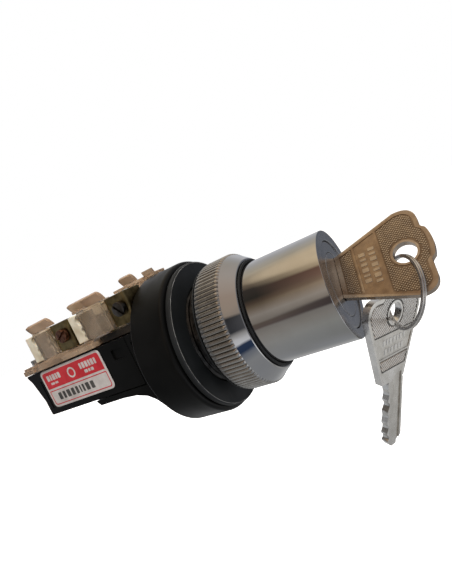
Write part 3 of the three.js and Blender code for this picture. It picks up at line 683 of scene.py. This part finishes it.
def label():
    """A sticker with a red band, a thin red frame and plain bars in place of any print."""
    low, high = corners("label")
    skin_x = low.x
    sheet = filleted(rectangle(low.y, low.z, high.y, high.z), 1.7, 6)
    base = prism(sheet, skin_x + 0.05, high.x, SIDE)
    piece("label_sheet", soften(base, 0.03, 1, 40), PAPER, ["label"])
    inset = 0.75
    y0, y1, z0, z1 = low.y + inset, high.y - inset, low.z + inset, high.z - inset
    middle = z0 + 0.47 * (z1 - z0)
    ink = skin_x + 0.025, skin_x + 0.1
    band = prism(filleted(rectangle(y0, middle + 0.4, y1, z1), [0.2, 0.2, 1.1, 1.1], 5), *ink, SIDE)
    lower = frame_prism(
        filleted(rectangle(y0, z0, y1, middle - 0.3), [1.1, 1.1, 0.2, 0.2], 5),
        filleted(rectangle(y0 + 0.3, z0 + 0.3, y1 - 0.3, middle - 0.6), [0.9, 0.9, 0.15, 0.15], 5),
        *ink, SIDE)
    piece("label_red", merged(band, lower), RED_INK)

    def strokes(y, widths, gap, low_z, high_z, corner, start, end):
        """Upright bars of these widths, side by side from y towards the front."""
        made = []
        for width in widths:
            outline = filleted(rectangle(y - width, low_z, y, high_z), corner, 2)
            made.append(prism(outline, skin_x + start, skin_x + end, SIDE))
            y -= width + gap
        return made

    top = z1 - 1.1
    pale = []
    for y, widths, z, tall in (
            (y1 - 1.6, (1.2, 0.8, 1.2, 0.8, 1.2), top - 1.9, 1.9),
            (y1 - 2.4, (1.8, 1.4), top - 3.3, 0.7),
            (y0 + 9.4, (0.8, 1.1, 1.1, 0.8, 1.1, 0.8), top - 1.9, 1.9),
            (y0 + 8.2, (1.4, 0.8, 1.2), top - 3.5, 1.0)):
        pale += strokes(y, widths, 0.35, z, z + tall, 0.2, 0.005, 0.06)
    centre = (y0 + y1) / 2 + 0.2, top - 1.7
    pale.append(frame_prism(circle(*centre, 1.75, 36), circle(*centre, 1.2, 36),
                            skin_x + 0.005, skin_x + 0.06, SIDE))
    piece("label_bars", merged(*pale), PAPER)
    dark = strokes(y1 - 3.2, (1.5, 1.2, 1.6, 1.4, 1.2, 0.6, 0.9, 1.6, 1.5), 0.7, z0 + 1.35,
                   middle - 1.5, 0.25, 0.01, 0.07)
    piece("label_marks", merged(*dark), BLACK_INK)


# ---- screws ----
def screw_body(head_r, head_height, shank_r, shank_length, slot_width):
    """A cheese-head screw along Y, with the top of its slotted head at 0."""
    profile = filleted([(0, 0), (head_r, 0), (head_r, -head_height), (shank_r, -head_height),
                        (shank_r, -head_height - shank_length), (0, -head_height - shank_length)],
                       [0, 0.35, 0.1, 0, 0.3, 0], 4)
    body = turned(profile, 40)
    half = slot_width / 2
    slot = block((-head_r - 1, -0.45 * head_height, -half), (head_r + 1, 1, half))
    return boolean(body, slot)


def placed(bm, origin, out, turn=0.0):
    """Moves a screw so that its head points along out."""
    spin = Vector((0, 1, 0)).rotation_difference(Vector(out)).to_matrix().to_4x4()
    bmesh.ops.transform(bm, verts=bm.verts, matrix=(
        Matrix.Translation(Vector(origin)) @ spin @ Matrix.Rotation(turn, 4, "Y")))
    return bm


def screws():
    for side, name in ((-1, "left"), (1, "right")):
        low, high = corners("cover_screw_" + name)
        middle = (low + high) / 2
        body = placed(screw_body(2.5, 1.6, 1.2, 7, 0.7), (middle.x, middle.y, high.z), (0, 0, 1),
                      0.6 * side + 0.4)
        piece(f"cover_screw_{name}_body", body, STEEL, ["cover_screw_" + name])
    for stage, turn in (("front", 0.9), ("rear", -0.5)):
        for row, side in ROWS.items():
            node = f"clamp_screw_{stage}_{row}"
            low, high = corners(node)
            head = low.x if side < 0 else high.x
            body = placed(screw_body(2.1, 1.6, 1.0, 1.1, 0.65),
                          (head, (low.y + high.y) / 2, SCREW_Z), (side, 0, 0), turn * side)
            piece(node + "_body", body,
                  RUSTY if node.endswith("rear_near") else DARK_STEEL, [node])
    low, high = corners("grub_screw")
    body = turned(filleted([(0, 0), (1.5, 0), (1.5, -6.5), (0, -6.5)], [0, 0.25, 0.25, 0], 3), 32)
    hexagon = prism(circle(0, 0, 0.75, 6), -1.6, 1, END)
    body = placed(boolean(body, hexagon), (high.x, (low.y + high.y) / 2, 0), (1, 0, 0))
    piece("grub_screw_body", body, DARK_STEEL, ["grub_screw"])


# ---- terminals ----
def clamp(stage, row):
    """A brass cage with rounded corners, a wire way, and ways for the strip and the screw."""
    node = f"clamp_{stage}_{row}"
    low, high = corners(node)
    side = ROWS[row]
    x0, x1 = mirrored(side, 8.2, 14)
    way = rectangle(x0, low.y + CLAMP_WAY[0], x1, low.y + CLAMP_WAY[1])
    cage = frame_prism(filleted(rectangle(low.x, low.y, high.x, high.y), 0.9), filleted(way, 0.5),
                       low.z, high.z)
    x0, x1 = mirrored(side, 8.1, 9.7)
    strip_way = block((x0, low.y - 1, 14.3), (x1, high.y + 1, 18.9))
    screw_way = prism(circle(low.y + SCREW_INSET, SCREW_Z, 1.3), *mirrored(side, 12.5, 16), SIDE)
    body = boolean(soften(cage, 0.18, 2, 50), strip_way, screw_way)
    piece(node + "_cage", body, BRASS, [node])


def leaning(hinge, top, tip, y0, y1):
    """A sheet along Y that leans out to -X from its hinge line; tip is its free edge."""
    lean = [(hinge + 0.05, top + 0.02), (hinge + 1.15, top + 0.02), (tip[0] + 0.9, tip[1]),
            (tip[0], tip[1] - 0.65)]
    sheet = prism(filleted(lean, [0.2, 0.3, 0.3, 0.3], 3), y0, y1, END)
    outline = filleted(rectangle(y0, top - 1, y1, tip[1]), [0, 0, 1.7, 1.7], 6)
    corners_cut = prism(outline, hinge - 6, hinge + 3, SIDE)
    return soften(boolean(sheet, corners_cut, operation="INTERSECT"), 0.12, 2, 40)


def shroud(stage, row):
    """A clear box round the fixed contact, with a bent amber hood on its lid."""
    node = f"shroud_{stage}_{row}"
    low, high = corners(node)
    side, near = ROWS[row], row == "near"
    y0, y1 = SHROUD_Y[stage]
    wall, inner, outer = 0.9, 9.8, 16.0
    top, hinge = (22.6, -outer) if near else (24.2, 2.5)
    x0, x1 = mirrored(side, inner, outer)
    box = block((x0, y0, low.z), (x1, y1, top), 0.3)
    x0, x1 = mirrored(side, inner - 2, outer - wall)
    body = boolean(box, block((x0, y0 + wall, low.z - 1), (x1, y1 - wall, top - wall)))
    if not near:
        lid = block((hinge, y0, top - wall), (inner + 1, y1, top), 0.2)
        body = boolean(body, lid, operation="UNION")
    if (stage, row) == ("front", "far"):
        flap_start, flap_end = FLAP_Y
        arm = block((hinge, flap_start, top - wall), (8.6, y0 + 0.8, top), 0.2)
        body = boolean(body, arm, operation="UNION")
        lip = [(hinge, top - 0.2), (hinge + 0.95, top - 0.2), (hinge + 0.2, top + 1.4),
               (hinge - 0.65, top + 1.4)]
        lip = prism(filleted(lip, [0, 0, 0.2, 0.2]), flap_start + 0.05, flap_end - 0.05, END)
        piece(node + "_flap", soften(lip, 0.1, 2, 40), COVER)
    piece(node + "_box", body, CLEAR if near else COVER, [node])
    piece(node + "_hood", leaning(hinge, top, (hinge - 1.5, high.z), *HOOD_Y[stage, row]),
          AMBER)


# ---- plungers, moving contacts and springs ----
def plunger(stage):
    """A foot on the cam, a stem and a crossbeam with two bitten ends."""
    node = "plunger_" + stage
    low, high = corners(node)
    y = plunger_y(stage)
    half = 2.1
    outer, inner, beam = high.x, 11.0, 19.5
    foot, stem, ankle, hem = 3.4, 2.0, 4.4, 13.6
    right = [(foot, low.z), (foot, ankle), (stem, ankle), (stem, beam), (inner, beam), (inner, hem),
             (outer, hem), (outer, high.z)]
    outline = filleted(right + [(-x, z) for x, z in reversed(right)], 0.35, 3)
    body = soften(prism(outline, y - half, y + half, END), 0.25, 2, 50)
    bites = [prism(circle(y - half, z, radius), *mirrored(side, outer - 1.6, outer + 1), SIDE)
             for side in (-1, 1) for z, radius in ((15, 0.7), (17, 0.9), (20.2, 1.7))]
    piece(node + "_body", boolean(body, *bites), IVORY, [node], node)


def swept(points, across, section):
    """A closed tube: a section of (a, b) pairs carried along the points by two directions each."""
    bm = bmesh.new()
    rings = [[bm.verts.new(p + first * a + second * b) for a, b in section]
             for p, (first, second) in zip(points, across)]
    skin(bm, rings, loop=False)
    bm.faces.new(rings[0])
    bm.faces.new(rings[-1])
    return bm


def coil(centre, radius, wire, low, high, turns):
    """A compression spring about a Z line, with its end turns closed."""
    steps = int(turns * 32)
    rise = high - low - 2 * wire
    points, across = [], []
    for k in range(steps + 1):
        t = k / steps
        angle = 2 * math.pi * turns * t
        ease = max(0.0, min(1.0, (t - 0.12) / 0.76))
        out = Vector((math.cos(angle), math.sin(angle), 0))
        points.append(Vector((*centre, low + wire + rise * ease)) + out * radius)
        across.append((out, Vector((0, 0, 1))))
    return swept(points, across, circle(0, 0, wire, 10))


def springs(stage):
    """The contact spring rides on the plunger; the return spring, which the rising plunger squeezes
    in the real switch, stays with the housing as drawn.
    """
    y = plunger_y(stage)
    for kind, body, radius in (("contact_spring_", "plunger_" + stage, 3.0),
                               ("return_spring_", "housing", 3.1)):
        node = kind + stage
        low, high = corners(node)
        spring = piece(node + "_coil", coil((0, y), radius, 0.3, low.z, high.z, 4.5),
                       STEEL, [node], body)
    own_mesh(spring)


# ---- keys and split ring ----
def half_bow(x):
    """Half the width of the bow, which widens steadily away from the blade."""
    return 8.4 + (x - 7.25) / 3


def arc(start, middle, end, steps):
    """Points of a quadratic curve."""
    a, b, c = Vector(start), Vector(middle), Vector(end)
    shares = [k / steps for k in range(steps + 1)]
    return [tuple(a.lerp(b, t).lerp(b.lerp(c, t), t)) for t in shares]


def bow_outline(inset, start):
    """The bow from its start towards the blade to its hump between two nicks, inset evenly."""
    corner = half_bow(17.4) - inset
    far = BOW_END - inset

    def side(sign, nick):
        """One side of the bow, from its start round the far corner and down into the nick."""
        def at(along, off):
            return along, BOW_MIDDLE + sign * off

        bend = arc(at(15.9, corner - 0.45), at(far - 0.4, corner - 0.02),
                   at(far, 8 - inset / 2), 10)
        dent = arc(at(far, nick + 0.5), at(far - 0.1, nick), at(far + 0.7, nick - 0.6), 5)
        return [at(start, half_bow(start) - inset * 1.05), *bend, *dent]

    hump = arc((far + 1.0, BOW_MIDDLE + 4.4), (far + 2.2, BOW_MIDDLE + 0.7),
               (far + 1.0, BOW_MIDDLE - 2.9), 10)
    return side(1, 5.3) + hump + side(-1, 3.8)[::-1]


def key_outline():
    shoulder, slope = BLADE_SHOULDER - 0.2, BLADE_TIP + 2.2
    blade = [(shoulder, -BLADE_HALF), (slope, -BLADE_HALF), (BLADE_TIP, -1), (BLADE_TIP, 1),
             (slope, BLADE_HALF - 0.4)]
    for i in reversed(range(len(CUTS))):
        x, bottom = FIRST_CUT - CUT_PITCH * i, BLADE_HALF - CUTS[i]
        blade += [(x - 0.4, bottom), (x + 0.4, bottom), (x + 1.4, BLADE_HALF - 0.1)]
    blade.append((shoulder, BLADE_HALF))
    return bow_outline(0, BLADE_SHOULDER) + filleted(blade, 0.6)


def panel_outline(index):
    """The recess of one panel; the main area ends inside the far rim."""
    start, end = PANELS[index]
    if index == 2:
        return bow_outline(PANEL_INSET, start)
    near, far = half_bow(start) - PANEL_INSET, half_bow(end) - PANEL_INSET
    return filleted([(start, BOW_MIDDLE - near), (end, BOW_MIDDLE - far), (end, BOW_MIDDLE + far),
                     (start, BOW_MIDDLE + near)], 0.3, 3)


def inside(point, outline):
    """Whether a point lies within an outline."""
    x, y = point
    hit = False
    for (x0, y0), (x1, y1) in zip(outline, outline[1:] + outline[:1]):
        if (y0 > y) != (y1 > y) and x < x0 + (y - y0) * (x1 - x0) / (y1 - y0):
            hit = not hit
    return hit


def studs(index, low, high):
    """The cross-hatching of a panel: rows of small pyramids set on the diagonal."""
    pitch = 0.66
    reach = 0.42 * pitch
    outline = panel_outline(index)
    bm = bmesh.new()
    for i in range(-45, 46):
        for j in range(-45, 46):
            u = 12 + (i + j) * pitch * 0.62
            v = BOW_MIDDLE + (i - j) * pitch * 0.5
            ring = [(u + reach * 1.2, v), (u, v + reach), (u - reach * 1.2, v), (u, v - reach)]
            clear = math.hypot(u - KEY_HOLE[0], v - KEY_HOLE[1]) > KEY_HOLE_R + 0.95
            if not clear or not all(inside(p, outline) for p in ring):
                continue
            top = [(u + (a - u) * 0.6, v + (b - v) * 0.6) for a, b in ring]
            foot, tip = rings_of(bm, FLAT, (ring, low), (top, high))
            skin(bm, [foot, tip], loop=False)
            bm.faces.new(foot)
            bm.faces.new(tip)
    return bm


def bars(low, high):
    """Plain raised bars in the middle panel, where the real key is lettered."""
    made = []
    gap = 0.55
    for start, end, widths in ((5.6, 7.3, (1.1, 0.7, 1.2, 0.9, 0.7, 1.1)),
                               (8.1, 9.8, (0.8, 1.2, 0.7, 1.1, 1.1, 0.7, 0.9))):
        v = BOW_MIDDLE - (sum(widths) + gap * (len(widths) - 1)) / 2
        for width in widths:
            bar = prism(filleted(rectangle(start, v, end, v + width), 0.25, 2), low, high)
            made.append(soften(bar, 0.05, 1))
            v += width + gap
    return made


def key(name, node, place, slot, material, hollows, body):
    """A key with recessed panels, whose hatched floors take the second, darker material as painted
    shade.
    """
    half = KEY_THICK / 2
    depth = half - KEY_RIM
    groove = rectangle(BLADE_TIP - 1, -BLADE_HALF + 0.95, BLADE_SHOULDER + 1.5, -BLADE_HALF + 2.25)
    tools = [prism(circle(*KEY_HOLE, KEY_HOLE_R, 48), -half - 1, half + 1)]
    for face in (-1, 1):
        for index in range(len(PANELS)):
            tool = prism(panel_outline(index), *mirrored(face, depth, half + 1))
            if index == 2:
                collar = prism(circle(*KEY_HOLE, KEY_HOLE_R + 0.55, 48),
                               *mirrored(face, depth - 1, half + 2))
                tool = boolean(tool, collar)
            tools.append(tool)
        tools.append(prism(groove, *mirrored(face, half - 0.3, half + 1)))
    solid = boolean(soften(prism(key_outline(), -half, half), 0.14, 2, 50), *tools)
    # the floors of the hatched panels take the second material, which paints shade there
    for flat in solid.faces:
        if all(abs(abs(v.co.z) - depth) < 0.02 for v in flat.verts):
            along = [v.co.x for v in flat.verts]
            in_band = min(along) > PANELS[0][0] - 0.1 and max(along) < PANELS[0][1] + 0.1
            flat.material_index = int(in_band or min(along) > PANELS[2][0] - 0.1)
    reliefs = []
    for face in (-1, 1):
        foot = depth - 0.05
        reliefs += [studs(index, face * foot, face * (depth + KEY_RIM)) for index in (0, 2)]
        reliefs += bars(*mirrored(face, foot, depth + 0.1))
    whole = merged(solid, *reliefs)
    bmesh.ops.transform(whole, verts=whole.verts, matrix=place)
    piece(name, whole, material, [node], body).data.materials.append(hollows)


def keys():
    key("key_blank", "key", KEY_PLACE, "key_bronze", BRONZE_KEY, TAN_HOLLOW_SHADE, "key")
    hole = Matrix.Translation((*KEY_HOLE, 0))
    place = key_frame(SPARE_HOLE, -SPARE_BLADE, SPARE_CUTS) @ hole.inverted()
    key("spare_key_blank", "spare_key", place, "key_nickel", NICKEL_KEY, NICKEL_HOLLOW_SHADE, "spare_key")


def split_ring():
    """Two flat turns of wire with a short crossover between them."""
    low, high = corners("key_ring")
    centre = (low + high) / 2
    axis = RING_AXIS.normalized()
    first = axis.cross(Vector((0, 0, 1))).normalized()
    second = axis.cross(first)
    pitch, turns, steps = 0.5, 1.97, 200
    start = 2.2  # where round the ring the wire begins, in radians
    points, across = [], []
    for k in range(steps + 1):
        angle = 2 * math.pi * turns * k / steps
        share = max(0.0, min(1.0, (angle - 2 * math.pi + 0.5) / 0.5))
        rise = pitch * (share * share * (3 - 2 * share) - 0.5)
        out = first * math.cos(angle + start) + second * math.sin(angle + start)
        points.append(centre + out * RING_R + axis * rise)
        across.append((out, axis))
    section = filleted(rectangle(-0.45, -0.235, 0.45, 0.235), 0.16, 3)
    piece("split_ring", swept(points, across, section), RING_WIRE, ["key_ring"],
          "key_ring")


# ---- the CAD nodes that stay ----
def paint(node, material):
    data = frame["nodes"][node].data
    data.materials.clear()
    data.materials.append(material)


def carried_nodes():
    for i in range(1, len(CUTS) + 1):
        paint(f"wafer_{i}", WAFER_BRASS)
    for node in ("plug_clip", "index_wheel", "index_leaf"):
        paint(node, STEEL)
    paint("camshaft", BLACK)
    for stage in STAGES:
        for node in ("bridge_" + stage, f"terminal_{stage}_near", f"terminal_{stage}_far"):
            paint(node, BRASS)


# ---- camera, light and floor ----
def camera():
    place = Vector((-104.86, -64.40, 18.07)) * MM
    aim = Vector((0.264, -7.161, 9.538)) * MM
    up = Vector((0.261342, -0.345641, 0.901240))
    back = (place - aim).normalized()
    right = up.cross(back).normalized()
    up = back.cross(right)
    data = bpy.data.cameras.new("camera")
    data.lens = 25.9
    data.sensor_width = 36
    data.clip_start, data.clip_end = 0.005, 20
    obj = linked("camera", data)
    obj.matrix_world = axes(right, up, back, place)
    bpy.context.scene.camera = obj


def floor():
    """A plain pale floor under the hanging key, which lights nothing and shows in no reflection."""
    top = corners("spare_key")[0].z - 14
    size = 3000
    bm = prism(filleted(rectangle(-size, -size, size, size), 400, 8), top - 5, top)
    bmesh.ops.scale(bm, vec=(MM, MM, MM), verts=bm.verts)
    obj = linked("floor", bm)
    obj.data.materials.append(finish(
        "pale_floor", ((60, 3), (0.3, (0.86, 0.86, 0.86)), (0.7, (0.9, 0.9, 0.9))),
        None, Specular_IOR_Level=0.1, Roughness=0.9, Emission_Color=(1, 1, 1, 1),
        Emission_Strength=0.85))
    obj.visible_glossy = obj.visible_diffuse = False


def area_light(name, place, aim, size, power, color):
    data = bpy.data.lights.new(name, "AREA")
    data.shape = "RECTANGLE"
    data.size, data.size_y = size[0] * MM, size[1] * MM
    data.energy, data.color = power, color
    obj = linked(name, data)
    obj.location = Vector(place) * MM
    obj.rotation_euler = (Vector(aim) - Vector(place)).to_track_quat("-Z", "Y").to_euler()
    obj.visible_glossy = False


TABLE = (0.3, 0.31, 0.33)
CEILING = (0.55, 0.48, 0.42)
LAMPLIT = (0.75, 0.62, 0.45)  # the ceiling where it is brightest


class Room(Nodes):
    """The world: what chrome and gloss pick up from the room, and plain white for the camera."""

    def __init__(self):
        world = bpy.data.worlds.new("room")
        bpy.context.scene.world = world
        super().__init__(world)
        self.tree.nodes.clear()
        place = self.node("ShaderNodeTexCoord").outputs["Generated"]
        self.axis = self.node("ShaderNodeSeparateXYZ", {0: place}).outputs
        self.height = self.share("Z", -1, 1)

    def share(self, axis, low, high, smooth=False):
        """0 at low and 1 at high along one axis of the direction."""
        return self.span(self.axis[axis], 0, 1, low, high, smooth)

    def wall(self, *stops):
        """Colours by height: (z of the direction, red, green, blue), from below to above."""
        return self.ramp(self.height, [((z + 1) / 2, color) for z, *color in stops])

    def finish(self, color):
        """White to the camera and through clear plastic, and this colour to everything else."""
        seen = self.node("ShaderNodeLightPath").outputs
        direct = self.node("ShaderNodeMath", {
            0: seen["Is Camera Ray"], 1: seen["Is Transmission Ray"]}, operation="MAXIMUM")
        lit = self.node("ShaderNodeBackground", {"Color": color})
        white = self.node("ShaderNodeBackground", {"Color": (1, 1, 1, 1)})
        choice = self.node("ShaderNodeMixShader", {
            "Fac": direct.outputs[0], 1: lit.outputs[0], 2: white.outputs[0]})
        self.node("ShaderNodeOutputWorld", {"Surface": choice.outputs[0]})


def world():
    """A pale table below, a warm ceiling, a window wall beyond and darker furniture nearby."""
    room = Room()
    beside = room.wall(
        (-1, 0.29, 0.3, 0.31), (-0.75, 0.35, 0.345, 0.33), (-0.5, 0.32, 0.3, 0.275),
        (-0.3, 0.27, 0.25, 0.23), (-0.24, 0.14, 0.11, 0.1), (-0.12, 0.15, 0.12, 0.1),
        (-0.06, 0.27, 0.24, 0.21), (0.17, 0.36, 0.32, 0.28), (0.3, 0.28, 0.23, 0.185),
        (0.45, 0.17, 0.13, 0.09), (0.55, 0.1, 0.07, 0.05), (0.66, 0.038, 0.034, 0.028),
        (0.84, 0.055, 0.045, 0.038), (0.89, 0.2, 0.155, 0.11), (0.92, 0.72, 0.58, 0.4),
        (0.95, 0.82, 0.66, 0.46), (1, 0.7, 0.58, 0.42))
    near = room.wall(
        (-1, 0.27, 0.275, 0.27), (-0.75, 0.33, 0.33, 0.31), (-0.5, 0.31, 0.29, 0.265),
        (-0.33, 0.26, 0.24, 0.22), (-0.27, 0.07, 0.055, 0.055), (-0.08, 0.075, 0.058, 0.056),
        (0.0, 0.33, 0.28, 0.235), (0.17, 0.45, 0.39, 0.33), (0.46, 0.44, 0.33, 0.23),
        (0.54, 0.32, 0.22, 0.15), (0.68, 0.27, 0.16, 0.115), (0.81, 0.22, 0.12, 0.085),
        (0.85, 0.6, 0.46, 0.3), (0.95, 0.86, 0.68, 0.45), (1, *LAMPLIT))
    behind = room.wall(
        (-1, *TABLE), (-0.8, 0.33, 0.34, 0.355), (-0.64, 0.2, 0.22, 0.26), (-0.56, 0.03, 0.05, 0.1),
        (-0.42, 0.035, 0.055, 0.11), (-0.36, 0.75, 0.76, 0.8), (-0.26, 0.7, 0.7, 0.72),
        (-0.14, 0.42, 0.41, 0.4), (-0.04, 0.02, 0.022, 0.028), (0.3, 0.016, 0.016, 0.018),
        (0.37, 0.42, 0.34, 0.27), (0.75, 0.46, 0.36, 0.29), (1, *CEILING))
    beyond = room.wall(
        (-1, 0.3, 0.3, 0.31), (-0.85, 0.32, 0.33, 0.34), (-0.6, 0.5, 0.5, 0.5),
        (-0.2, 0.42, 0.44, 0.47), (0.1, 0.5, 0.52, 0.56), (0.36, 0.6, 0.6, 0.62),
        (0.63, 0.52, 0.51, 0.5), (0.84, 0.56, 0.5, 0.4), (0.95, 0.82, 0.66, 0.45), (1, *LAMPLIT))
    ahead = room.wall(
        (-1, *TABLE), (-0.6, 0.46, 0.45, 0.43), (-0.4, 0.36, 0.36, 0.36), (-0.25, 0.17, 0.18, 0.21),
        (-0.1, 0.13, 0.14, 0.165), (0.1, 0.14, 0.15, 0.18), (0.6, 0.4, 0.39, 0.38), (1, *CEILING))
    shade = room.wall(
        (-1, *TABLE), (-0.7, 0.14, 0.145, 0.15), (-0.4, 0.07, 0.07, 0.07),
        (0.45, 0.05, 0.05, 0.048), (0.7, 0.22, 0.21, 0.19), (1, *LAMPLIT))
    front = room.wall(
        (-1, 0.35, 0.36, 0.38), (-0.85, 0.8, 0.82, 0.86), (-0.7, 1, 1, 1), (-0.45, 0.9, 0.92, 0.95),
        (-0.3, 0.25, 0.25, 0.27), (0.4, 0.2, 0.2, 0.21), (1, *CEILING))
    sides = room.mix(room.share("Y", 0.26, 0.42), near, beside)
    sides = room.mix(room.share("Y", 0.5, 0.62), sides, shade)
    sides = room.mix(room.share("Y", 0.7, 0.9, True), sides, beyond)
    left = room.mix(room.share("Y", -0.25, 0.2, True), behind, sides)
    right = room.mix(room.share("Y", -0.3, 0.15, True), ahead, beyond)
    around = room.mix(room.share("X", -0.1, 0.35, True), left, right)
    room.finish(room.mix(room.share("Y", -0.62, -0.74), around, front))


def studio():
    world()
    floor()
    area_light("key_light", (-220, -160, 330), (0, 0, 0), (260, 260), 2.2, (1.0, 0.97, 0.93))
    area_light("rim_light", (160, 260, 300), (0, 20, 0), (220, 160), 1.2, (0.92, 0.96, 1.0))
    bpy.context.scene.view_settings.view_transform = "Standard"


# ---- everything ----
lock_barrel()
ring_nut()
seal_rings()
sealing_disc()
housing()
lock_face()
contact_base()
covers()
label()
screws()
for stage in STAGES:
    for row in ROWS:
        clamp(stage, row)
        shroud(stage, row)
    plunger(stage)
    springs(stage)
keys()
split_ring()
carried_nodes()
camera()
studio()
